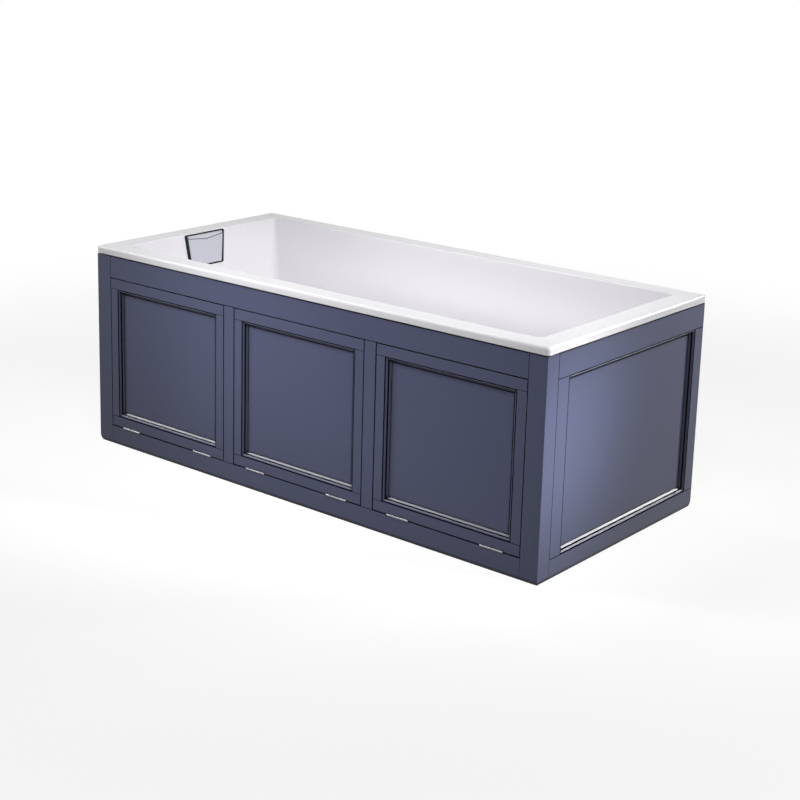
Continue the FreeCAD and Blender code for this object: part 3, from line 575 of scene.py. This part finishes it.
def beadSection():
    # across the bead (from the board inwards) and down from the face; a marked point starts a face painted with
    # near-black shade: the groove's floor, the quirk's wall or the toe
    centre = bead["crestStart"] + bead["round"]
    crown = bead["setBack"] + bead["round"]
    points = [(0, bead["depth"], False), (0, bead["groove"], True),
              (bead["crestStart"], bead["groove"], False)]
    for step in range(bead["roundSteps"] + 1):
        angle = math.pi - math.radians(bead["roundTurn"]) * step / bead["roundSteps"]
        across = centre + bead["round"] * math.cos(angle)
        points.append((across, crown - bead["round"] * math.sin(angle), False))
    across, down = points[-1][0] + bead["flank"], points[-1][1] + bead["flank"]
    end = bead["width"] - bead["toe"]
    low = bead["depth"] - bead["lead"]
    points += [(across, down, True), (across + 2 * bead["lead"], bead["quirkFloor"], False),
               (bead["quirkEnd"], bead["quirkFloor"], False),
               (end - bead["chamfer"], low - bead["chamfer"], False),
               (end, low, True), (bead["width"], low, False), (bead["width"], bead["depth"], False)]
    return points


def makeBead(name, node, body, across, outward):
    # four mitred lengths round the node's box, whose outward face is level with the crest
    low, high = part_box(node)
    corner = Vector((high.x if outward.x > 0 else low.x, low.y, low.z)) + outward * bead["setBack"]
    wide = (high - low).dot(across)
    tall = high.z - low.z
    section = beadSection()
    count = len(section)
    up = Vector((0, 0, 1))
    far = corner + across * wide
    sides = [(corner, across, up, wide), (far, up, -across, tall),
             (far + up * tall, -across, -up, wide), (corner + up * tall, -up, across, tall)]
    points = []
    faces = []
    for origin, along, inward, length in sides:
        start = len(points)
        for end in (0, 1):
            for reach, depth, dark in section:
                travel = reach if end == 0 else length - reach
                points.append(origin + along * travel + inward * reach - outward * depth)
        faces += [tuple(start + index for index in face) for face in ringFaces(2, count)]
        faces.append(tuple(range(start, start + count)))
        faces.append(tuple(range(start + count, start + 2 * count))[::-1])
    piece = addPiece(name, points, faces, body, [paint, grooveShadePaint], [node])
    # faces marked in the section get the near-black paint as painted shade
    for face in piece.data.polygons:
        step = face.index % (count + 2)
        face.material_index = int(step < count and section[step][2])
    smoothed(facedOutward(piece), bead["smoothBelow"])


for number in (1, 2, 3):
    makeBead("door%dMoulding" % number, "door_%d_moulding" % number, "door_%d" % number,
             Vector((1, 0, 0)), Vector((0, -1, 0)))
makeBead("endMoulding", "end_moulding", "root", Vector((0, 1, 0)), Vector((1, 0, 0)))
print("mouldings run")


# Headrest: a black tray on the head wall with a folded silver pad pressed into it

headrest = {
    "drop": 3 * mm, "topWidth": 166 * mm, "bottomWidth": 142 * mm, "height": 103 * mm, "corner": 5.5 * mm,
    "depth": 5 * mm, "floor": 1.5 * mm, "border": 8 * mm, "endBorder": 4 * mm, "edgeRound": 0.8 * mm,
    "play": 0.3 * mm, "foldEndDrop": 12 * mm, "foldDrop": 20 * mm, "edgeRise": 2.2 * mm,
    "foldEndRise": 6 * mm, "foldRise": 8 * mm, "footRise": 3.5 * mm, "crease": 0.55 * mm,
    "creaseWidth": 1.5 * mm, "padEdge": 1.6 * mm, "upperRows": 12, "lowerRows": 40, "columns": 64,
    "cornerSteps": 6, "edgeStart": 0.3, "cornerTuck": 0.4, "edgeFall": 0.8, "lift": 0.02 * mm,
    "sideShares": (0, 0.004, 0.012, 0.024), "topShares": [0, 0.03, 0.08], "footShares": [0.98, 0.993, 1],
    "traySmooth": 50, "padSmooth": 60,
}


def trayOutline(inset, endInset, radius):
    # the tray's tapered outline with rounded corners, top edge first
    halfTop = headrest["topWidth"] / 2 - inset
    halfBottom = headrest["bottomWidth"] / 2 - inset
    foot = headrest["height"] - endInset
    corners = [(endInset, -halfTop), (endInset, halfTop), (foot, halfBottom), (foot, -halfBottom)]
    points = []
    for place, corner in enumerate(corners):
        here = Vector(corner)
        before = (Vector(corners[place - 1]) - here).normalized()
        after = (Vector(corners[(place + 1) % 4]) - here).normalized()
        half = before.angle(after) / 2
        reach = radius / math.tan(half)
        centre = here + (before + after).normalized() * radius / math.sin(half)
        first = here + before * reach - centre
        last = here + after * reach - centre
        for step in range(headrest["cornerSteps"] + 1):
            ray = first.lerp(last, step / headrest["cornerSteps"])
            points.append(centre + ray.normalized() * radius)
    return points


def makeTray():
    edge = headrest["edgeRound"]
    start = edge * headrest["edgeStart"]
    depth = headrest["depth"]
    border = headrest["border"]
    endBorder = headrest["endBorder"]
    outer = headrest["corner"]
    inner = outer - endBorder
    levels = [(0, 0, outer, 0), (0, 0, outer, depth - edge), (start, start, outer - start, depth - start),
              (edge, edge, outer - edge, depth),
              (border - edge, endBorder - edge, inner + edge, depth),
              (border - start, endBorder - start, inner + start, depth - start),
              (border, endBorder, inner, depth - edge), (border, endBorder, inner, headrest["floor"])]
    place = wallPlace(-1, headrest["drop"])
    points = []
    for inset, endInset, radius, level in levels:
        outline = trayOutline(inset, endInset, radius)
        points += [place @ Vector((point.x, point.y, level)) for point in outline]
    count = len(outline)
    faces = ringFaces(len(levels), count)
    faces.append(tuple(range(count)))
    faces.append(tuple(range(len(points) - count, len(points))))
    piece = addPiece("headrestTray", points, faces, "root", [trayPlastic],
                     ["headrest_base"])
    smoothed(facedOutward(piece), headrest["traySmooth"])


def padHalf(down):
    # half of the pad's width this far down the tray
    taper = (headrest["topWidth"] - headrest["bottomWidth"]) / 2 / headrest["height"]
    tuck = (headrest["corner"] - headrest["endBorder"]) * headrest["cornerTuck"]
    start = headrest["topWidth"] / 2 - headrest["border"] - headrest["play"] - tuck
    return start - (down - headrest["endBorder"]) * taper


def foldPlace(share):
    # the fold dips from the sides, where the share is 1 or -1, to the middle
    return headrest["foldDrop"] + (headrest["foldEndDrop"] - headrest["foldDrop"]) * abs(share)


def padRise(down, share, top, bottom):
    # the pad's height over the tray's floor: two facets meet in a V fold with a pressed crease
    fold = foldPlace(share)
    peak = headrest["foldRise"] + (headrest["foldEndRise"] - headrest["foldRise"]) * abs(share)
    if down < fold:
        rise = headrest["edgeRise"] + (peak - headrest["edgeRise"]) * (down - top) / (fold - top)
    else:
        rise = peak + (headrest["footRise"] - peak) * (down - fold) / (bottom - fold)
    rise -= headrest["crease"] * math.exp(-((down - fold) / headrest["creaseWidth"]) ** 2)
    gap = min((1 - abs(share)) * padHalf(down), down - top, bottom - down)
    if gap < headrest["padEdge"]:
        turn = 1 - gap / headrest["padEdge"]
        rise -= headrest["padEdge"] * (1 - math.sqrt(max(0.0, 1 - turn * turn))) * headrest["edgeFall"]
    return rise


def makePad():
    # rows of points over the upper facet, the fold and the lower facet, closed by a flat back
    top = headrest["endBorder"] + headrest["play"]
    bottom = headrest["height"] - headrest["endBorder"] - headrest["play"]
    place = wallPlace(-1, headrest["drop"])
    columns, upperRows, lowerRows = (headrest[name] for name in ("columns", "upperRows", "lowerRows"))
    sides = headrest["sideShares"]
    acrossShares = [-1 + 2 * share for share in sides]
    acrossShares += [2 * step / columns - 1 for step in range(2, columns - 1)]
    acrossShares += [1 - 2 * share for share in sides[::-1]]
    upper = headrest["topShares"] + [step / upperRows for step in range(2, upperRows + 1)]
    lower = [step / lowerRows for step in range(lowerRows - 1)] + headrest["footShares"]
    width = headrest["creaseWidth"]
    tall = len(upper) + 1 + len(lower)
    front = []
    back = []
    for row in range(tall):
        for share in acrossShares:
            fold = foldPlace(share)
            if row < len(upper):
                down = top + (fold - width - top) * upper[row]
            elif row == len(upper):
                down = fold
            else:
                down = fold + width + (bottom - fold - width) * lower[row - len(upper) - 1]
            half = padHalf(down)
            rise = padRise(down, share, top, bottom)
            front.append(place @ Vector((down, share * half, headrest["floor"] + rise)))
            back.append(place @ Vector((down, share * half, headrest["floor"] + headrest["lift"])))
    wide = len(acrossShares)
    faces = []
    for row in range(tall - 1):
        for column in range(wide - 1):
            corner = row * wide + column
            quad = (corner, corner + 1, corner + wide + 1, corner + wide)
            faces.append(quad)
            faces.append(tuple(len(front) + index for index in quad[::-1]))
    border = (list(range(wide)) + [row * wide + wide - 1 for row in range(1, tall)] +
              [(tall - 1) * wide + column for column in range(wide - 2, -1, -1)] +
              [row * wide for row in range(tall - 2, 0, -1)])
    for step, index in enumerate(border):
        after = border[(step + 1) % len(border)]
        faces.append((index, len(front) + index, len(front) + after, after))
    piece = addPiece("headrestPad", front + back, faces, "root", [foam, foldShadedFoam],
                     ["headrest_pad"])
    # the two rows at the fold get the darker foam, painted shade for the crease
    for face in piece.data.polygons:
        row = face.index // 2 // (wide - 1)
        face.material_index = int(row in (len(upper) - 1, len(upper)) and face.index % 2 == 0)
    smoothed(facedOutward(piece), headrest["padSmooth"])


makeTray()
makePad()
print("headrest made")


# Turned pieces: plug and overflow cover

turning = {"steps": 72, "joinWithin": 0.004 * mm, "smoothBelow": 30}


def turnChrome(name, outline, place, body, node):
    # a closed outline of (radius, height) turned about the place's +Z
    points = []
    for radius, height in outline:
        for step in range(turning["steps"]):
            angle = math.tau * step / turning["steps"]
            points.append(place @ Vector((radius * math.cos(angle), radius * math.sin(angle), height)))
    faces = ringFaces(len(outline), turning["steps"], closed=True)
    piece = addPiece(name, points, faces, body, [chrome], [node])
    smoothed(facedOutward(piece, turning["joinWithin"]), turning["smoothBelow"])


def edgeArc(centreRadius, centreHeight, radius, sweep, steps):
    # a rounded edge, from straight outward up by the sweep in degrees
    points = []
    for step in range(steps + 1):
        angle = math.radians(sweep * step / steps)
        points.append((centreRadius + radius * math.cos(angle), centreHeight + radius * math.sin(angle)))
    return points


plug = {"stemRadius": 5 * mm, "capThickness": 5 * mm, "crown": 0.9 * mm, "edge": 1.6 * mm, "foot": 0.4 * mm,
        "edgeSweep": 80, "edgeSteps": 6, "crownSteps": 8, "crownShare": 0.98}


def makePlug():
    # a low crowned cap with a rounded edge, on its stem
    radius = (plugHigh.x - plugLow.x) / 2
    top = plugHigh.z
    under = top - plug["capThickness"]
    foot = plug["foot"]
    outline = [(0, plugLow.z), (plug["stemRadius"] - foot, plugLow.z),
               (plug["stemRadius"], plugLow.z + foot), (plug["stemRadius"], under),
               (radius - foot, under), (radius, under + foot)]
    outline += edgeArc(radius - plug["edge"], top - plug["crown"] - plug["edge"], plug["edge"],
                       plug["edgeSweep"], plug["edgeSteps"])
    inner = outline[-1][0]
    for step in range(1, plug["crownSteps"] + 1):
        share = 1 - step / plug["crownSteps"]
        outline.append((inner * share, top - plug["crown"] * share * share * plug["crownShare"]))
    turnChrome("wastePlugTurned", outline, Matrix.Translation((tub["drainPlace"], 0, 0)), "plug",
               "waste_plug")


cover = {"radius": 34 * mm, "thickness": 4 * mm, "standOff": 5 * mm, "edge": 1.8 * mm, "edgeSweep": 90,
         "edgeSteps": 6, "backEdge": 0.4 * mm, "sleeveRadius": 22 * mm, "sleeveBore": 19 * mm,
         "sleeveReach": 12 * mm, "groove": 0.35 * mm, "grooveRadius": 27 * mm}


def makeCover():
    # the disc has a fine turned groove, and stands off the wall so that water gets behind it
    radius, back, bore, sleeve, reach, edge, backEdge, ring, groove = (cover[name] for name in (
        "radius", "standOff", "sleeveBore", "sleeveRadius", "sleeveReach", "edge", "backEdge",
        "grooveRadius", "groove"))
    face = back + cover["thickness"]
    outline = [(0, back), (bore, back), (bore, -reach), (sleeve, -reach), (sleeve, back),
               (radius - backEdge, back), (radius, back + backEdge)]
    outline += edgeArc(radius - edge, face - edge, edge, cover["edgeSweep"], cover["edgeSteps"])
    outline += [(ring + groove, face), (ring, face - groove), (ring - groove, face), (0, face)]
    turnChrome("overflowCoverTurned", outline, wallPlace(1, tub["spillDrop"]), "root", "overflow_cover")


makePlug()
makeCover()
print("chrome turned")


# Feet: threaded studs in place of the plain rods

stud = {"radius": 6 * mm, "pitch": 1.75 * mm, "thread": 0.75 * mm, "steps": 24, "perTurn": 6,
        "chamfer": 1.2 * mm, "cell": 40 * mm}


def makeStuds():
    # the rods' points are sorted into studs by the cell of the floor that they stand in
    studs = {}
    for vertex in frame["nodes"]["foot_studs"].data.vertices:
        cell = (round(vertex.co.x / stud["cell"]), round(vertex.co.y / stud["cell"]))
        studs.setdefault(cell, []).append(vertex.co.copy())
    points = []
    faces = []
    ring = stud["steps"]
    for found in studs.values():
        low, high = (Vector([pick(line) for line in zip(*found)]) for pick in (min, max))
        axis = Vector(((low.x + high.x) / 2, (low.y + high.y) / 2, 0))
        rows = int((high.z - low.z) / stud["pitch"] * stud["perTurn"])
        start = len(points)
        for row in range(rows + 1):
            level = low.z + (high.z - low.z) * row / rows
            ease = min(1.0, min(level - low.z, high.z - level) / stud["chamfer"])
            for step in range(ring):
                phase = (level - low.z) / stud["pitch"] - step / ring
                wave = abs(2 * (phase - math.floor(phase)) - 1)
                radius = stud["radius"] - stud["thread"] * wave - (1 - ease) * stud["thread"]
                angle = math.tau * step / ring
                points.append(axis + Vector((radius * math.cos(angle), radius * math.sin(angle), level)))
        faces += [tuple(start + index for index in face) for face in ringFaces(rows + 1, ring)]
        faces.append(tuple(range(start, start + ring))[::-1])
        faces.append(tuple(range(len(points) - ring, len(points))))
    facedOutward(addPiece("footStudsThreaded", points, faces, "root", [zinc], ["foot_studs"]))


makeStuds()
print("studs threaded")


# Hinge screws: low domed heads with a cross recess; the shares are of the head's radius

screw = {
    "radius": 2.9 * mm, "fromFront": 11 * mm, "alongLeaf": (0.14, 0.5, 0.86), "proud": 0.05 * mm,
    "steps": 20, "arm": 0.62, "armHalf": 0.13, "dome": 0.16, "sink": 0.22, "flat": 0.8,
    "headRings": ((1.0, -1), (1.0, 0.35), (0.93, 0.8), (0.8, 1)), "leafThickness": 1.1 * mm,
    "gapHalf": 1.25 * mm, "leavesApart": 40 * mm,
}


def addScrew(points, faces, dark, place, axis):
    turn = Vector((0, 0, 1)).rotation_difference(axis).to_matrix().to_4x4()
    put = Matrix.Translation(place) @ turn
    radius = screw["radius"]
    arm = screw["arm"] * radius
    half = screw["armHalf"] * radius
    dome = screw["dome"] * radius
    ring = screw["steps"]
    cross = [(arm, -half), (arm, half), (half, half), (half, arm), (-half, arm), (-half, half),
             (-arm, half), (-arm, -half), (-half, -half), (-half, -arm), (half, -arm), (half, -half)]
    circle = [(math.cos(math.tau * step / ring), math.sin(math.tau * step / ring)) for step in range(ring)]
    start = len(points)
    for scale, rise in screw["headRings"]:
        points += [put @ Vector((x * scale * radius, y * scale * radius, dome * rise)) for x, y in circle]
    faces += [tuple(start + index for index in face) for face in ringFaces(len(screw["headRings"]), ring)]
    faces.append(tuple(range(start, start + ring))[::-1])
    crossStart = len(points)
    rim = crossStart - ring
    for level in (dome, dome - screw["sink"] * radius):
        points += [put @ Vector((x, y, level)) for x, y in cross]
    outer = [Vector((x * screw["flat"] * radius, y * screw["flat"] * radius, 0)) for x, y in circle]
    inner = [Vector((x, y, 0)) for x, y in cross]
    for triangle in tessellate_polygon([outer, inner]):
        faces.append(tuple(index + (rim if index < ring else crossStart - ring) for index in triangle))
    count = len(cross)
    faces += [tuple(crossStart + index for index in face) for face in ringFaces(2, count)]
    # the recess's floor gets black, painted shade for its depth
    dark.append(len(faces))
    faces.append(tuple(range(crossStart + count, crossStart + 2 * count)))


def leafRuns(node):
    # where along the bath each of the node's leaves starts and ends
    runs = []
    for value in sorted({round(vertex.co.x, 5) for vertex in frame["nodes"][node].data.vertices}):
        if runs and value - runs[-1][1] < screw["leavesApart"]:
            runs[-1][1] = value
        else:
            runs.append([value, value])
    return runs


def makeHingeScrews(name, node, body, side):
    # three screws in each leaf, on the face that shows when the door is down
    axisLevel = next(joint for joint in frame["joints"] if joint["name"] == "door_1_hinge")["pos_m"][2]
    face = screw["leafThickness"] - screw["gapHalf"] + screw["proud"] - screw["dome"] * screw["radius"]
    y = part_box("front_rail_top")[0].y + screw["fromFront"]
    points = []
    faces = []
    dark = []
    for start, end in leafRuns(node):
        for share in screw["alongLeaf"]:
            place = Vector((start + (end - start) * share, y, axisLevel + side * face))
            addScrew(points, faces, dark, place, Vector((0, 0, side)))
    piece = addPiece(name, points, faces, body, [nickel, blackNylonAndRecessShade])
    for index in dark:
        piece.data.polygons[index].material_index = 1
    facedOutward(piece)


makeHingeScrews("frameHingeScrews", "frame_hinge_leaves", "root", 1)
for number in (1, 2, 3):
    makeHingeScrews("door%dHingeScrews" % number, "door_%d_hinge_leaves" % number, "door_%d" % number, -1)
print("screws driven")


# Floor, light and camera

camera = {
    "turn": 39.162, "rise": 16.315, "roll": 1.266, "distance": 4.654, "aimHeight": 0.3,
    "pan": 0.945, "tilt": -2.479, "lens": 73.26, "sensor": 36, "shiftX": 0.05, "shiftY": -0.125,
    "clipStart": 0.05, "clipEnd": 100,
}


def backAndRight(turn, rise):
    # from the aim back to the camera, and to its right
    back = Vector((math.sin(turn) * math.cos(rise), -math.cos(turn) * math.cos(rise), math.sin(rise)))
    return back, Vector((math.cos(turn), math.sin(turn), 0))


def makeCamera():
    # the camera was fitted to the rim's and the panels' corners; pan, tilt and shift frame them
    turn, rise, roll, pan, tilt = (
        math.radians(camera[name]) for name in ("turn", "rise", "roll", "pan", "tilt"))
    back, right = backAndRight(turn, rise)
    place = Vector((0, 0, camera["aimHeight"])) + back * camera["distance"]
    back, right = backAndRight(turn + pan, rise + tilt)
    up = back.cross(right)
    rightRolled = right * math.cos(roll) + up * math.sin(roll)
    upRolled = up * math.cos(roll) - right * math.sin(roll)
    data = bpy.data.cameras.new("photoCamera")
    data.lens = camera["lens"]
    data.sensor_width = camera["sensor"]
    data.shift_x = camera["shiftX"]
    data.shift_y = camera["shiftY"]
    data.clip_start = camera["clipStart"]
    data.clip_end = camera["clipEnd"]
    holder = addObject("photoCamera", data)
    facing = Matrix((rightRolled, upRolled, back)).transposed()
    holder.matrix_world = Matrix.Translation(place) @ facing.to_4x4()
    bpy.context.scene.camera = holder


# place, aim, size in metres, spread and turn in degrees, power in watts
lamps = {
    "stripRight": ((1.3, -1.6, 2.3), (-0.2, 0.2, 0.45), (1.6, 0.6), 60, 0, 4.9),
    "frontLamp": ((-3.6, -2.2, 1.5), (0.2, -0.4, 0.42), (0.9, 0.9), 24, 0, 1.35),
    "frontMid": ((-1.2, -3.4, 1.4), (-0.2, -0.4, 0.42), (0.4, 0.4), 19, 0, 0.55),
    "frontRight": ((0.6, -3.6, 1.4), (0.55, -0.4, 0.3), (0.4, 0.4), 19, 0, 0.25),
    "endLamp": ((2.9, 3.0, 1.5), (0.8, 0.25, 0.5), (0.9, 0.9), 24, 0, 2.4),
    "endMid": ((3.4, 0.6, 1.3), (0.8, -0.33, 0.34), (0.3, 0.3), 15, 0, 1.05),
    "doorBand": ((-2.27, -1.6, 2.6), (0.0, -0.4, 0.2), (2.3, 0.4), 50, 52.5, 4.0),
    "endBand": ((2.4, 3.7, 2.3), (0.8, 0.0, 0.2), (1.0, 0.4), 50, -47.5, 2.9),
    "headFill": ((2.2, 0.3, 2.0), (-0.73, 0.0, 0.5), (0.6, 0.6), 30, 0, 1.2),
    "cornerFill": ((1.0, -1.2, 2.2), (-0.5, 0.25, 0.48), (0.5, 0.5), 30, 0, 0.2),
    "footFill": ((-0.6, 0.3, 2.4), (0.76, 0.0, 0.5), (0.6, 0.6), 24, 0, 0.4),
    "backTop": ((0.0, 1.2, 2.6), (0.0, 0.45, 0.6), (2.0, 0.4), 50, 0, 0.3),
}


def makeLamps():
    for name, (place, aim, size, spread, turn, power) in lamps.items():
        data = bpy.data.lights.new(name, "AREA")
        data.shape = "RECTANGLE"
        data.size, data.size_y = size
        data.spread = math.radians(spread)
        data.energy = power
        holder = addObject(name, data)
        holder.location = Vector(place)
        facing = (Vector(aim) - Vector(place)).to_track_quat("-Z", "Y").to_matrix()
        holder.rotation_euler = (facing @ Matrix.Rotation(math.radians(turn), 3, "Z")).to_euler()


backdrop = {
    "reach": 30.0, "drop": 0.2 * mm, "white": "#ffffff", "ambientTone": "#f4f2f8", "ambient": 0.04,
    "floorGrey": "#5a595e", "shadowGrey": "#959595", "glow": 0.84, "near": 1.3, "far": 3.2,
}


def emptiedTree(holder):
    # clears a material's or world's nodes, and gives what adds new ones
    holder.use_nodes = True
    holder.node_tree.nodes.clear()
    return partial(addNode, holder.node_tree)


def seenWhite(add):
    # 1 for what the camera sees, straight or in a reflection or through glass, and 0 for light
    path = add("LightPath").outputs
    seen = add("Math", {}, {0: path["Is Camera Ray"], 1: path["Is Glossy Ray"]}, operation="MAXIMUM")
    return add("Math", {}, {0: seen, 1: path["Is Transmission Ray"]}, operation="MAXIMUM")


def makeFloor():
    # the eye and reflections see white; near the bath the floor keeps a faint shadow of it
    half = backdrop["reach"] / 2
    mesh = bpy.data.meshes.new("studioFloor")
    mesh.from_pydata([(-half, -half, 0), (half, -half, 0), (half, half, 0), (-half, half, 0)], [],
                     [(0, 1, 2, 3)])
    floor = addObject("studioFloor", mesh)
    floor.location.z = -backdrop["drop"]
    paper = bpy.data.materials.new("whitePaperSweep")
    add = emptiedTree(paper)
    away = add("VectorMath", {}, add("TexCoord").outputs["Object"], operation="LENGTH").outputs["Value"]
    far = add("MapRange", {"From Min": backdrop["near"], "From Max": backdrop["far"]}, away,
              interpolation_type="SMOOTHSTEP")
    soft = add("BsdfDiffuse", {"Color": srgb(backdrop["shadowGrey"])})
    glow = add("Emission", {"Color": srgb(backdrop["white"]), "Strength": backdrop["glow"]})
    near = add("AddShader", {}, {0: soft, 1: glow})
    plain = add("Emission", {"Color": srgb(backdrop["white"]), "Strength": 1.0})
    shown = add("MixShader", {}, {0: far, 1: near, 2: plain})
    grey = add("BsdfDiffuse", {"Color": srgb(backdrop["floorGrey"])})
    add("OutputMaterial", {}, add("MixShader", {}, {0: seenWhite(add), 1: grey, 2: shown}))
    mesh.materials.append(paper)


def makeWorld():
    # white to the eye, and a weak even light on the bath
    world = bpy.data.worlds.new("whiteStudio")
    bpy.context.scene.world = world
    add = emptiedTree(world)
    soft = add("Background", {"Color": srgb(backdrop["ambientTone"]), "Strength": backdrop["ambient"]})
    plain = add("Background", {"Color": srgb(backdrop["white"]), "Strength": 1.0})
    add("OutputWorld", {}, add("MixShader", {}, {0: seenWhite(add), 1: soft, 2: plain}))


makeCamera()
makeLamps()
makeFloor()
makeWorld()
bpy.context.scene.view_settings.view_transform = "Standard"
print("camera, lamps and floor set")
